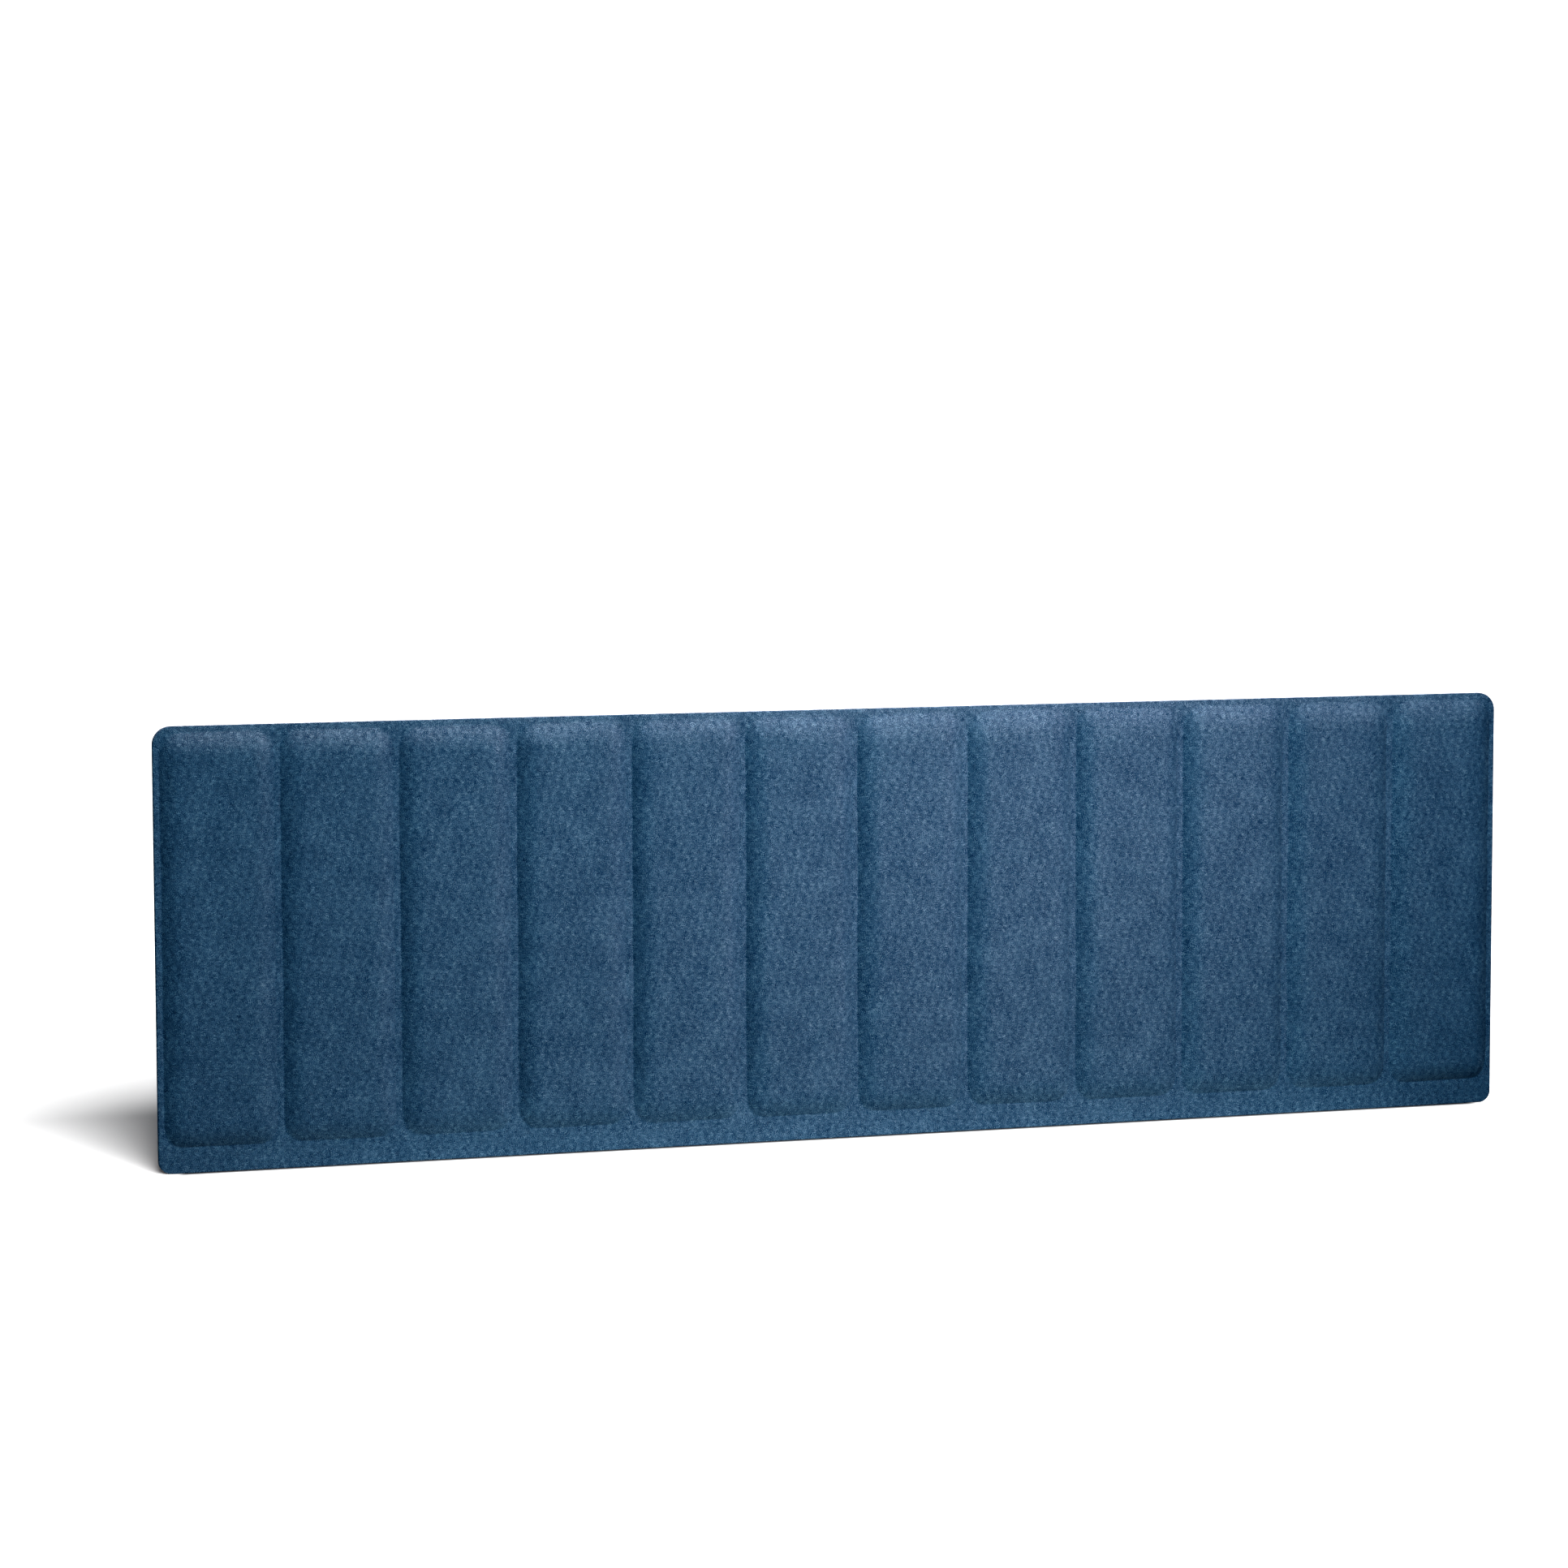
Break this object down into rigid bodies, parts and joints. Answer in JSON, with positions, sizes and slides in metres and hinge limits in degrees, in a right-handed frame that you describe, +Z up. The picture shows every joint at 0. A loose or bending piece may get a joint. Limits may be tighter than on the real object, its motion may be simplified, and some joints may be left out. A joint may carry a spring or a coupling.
{
  "type": "desk privacy panel",
  "caption": "Long, low desk privacy panel of moulded blue felt: upright padded channels on both faces, a thin flat rim, and a flat strip along the bottom edge for clamping.",
  "frame": {"origin": "middle of the bottom edge, on the panel's middle plane, where it stands", "axes": "+Z up, +X along the panel's length to the viewer's right, -Y out of the front face"},
  "size_m": [1.4, 0.025, 0.43],
  "materials": {
    "front_felt": "needle-felted melange polyester, deep denim blue, matt",
    "rear_felt": "needle-felted melange polyester, deep denim blue, matt",
    "core_board": "compressed recycled polyester board, grey",
    "wadding": "off-white polyester wadding, lofty and matt"
  },
  "bodies": {
    "root": {"front_felt_shell": "front_felt", "rear_felt_shell": "rear_felt", "core_board": "core_board", "front_infill_01": "wadding", "front_infill_02": "wadding", "front_infill_03": "wadding", "front_infill_04": "wadding", "front_infill_05": "wadding", "front_infill_06": "wadding", "front_infill_07": "wadding", "front_infill_08": "wadding", "front_infill_09": "wadding", "front_infill_10": "wadding", "front_infill_11": "wadding", "front_infill_12": "wadding", "rear_infill_01": "wadding", "rear_infill_02": "wadding", "rear_infill_03": "wadding", "rear_infill_04": "wadding", "rear_infill_05": "wadding", "rear_infill_06": "wadding", "rear_infill_07": "wadding", "rear_infill_08": "wadding", "rear_infill_09": "wadding", "rear_infill_10": "wadding", "rear_infill_11": "wadding", "rear_infill_12": "wadding"}
  },
  "joints": []
}
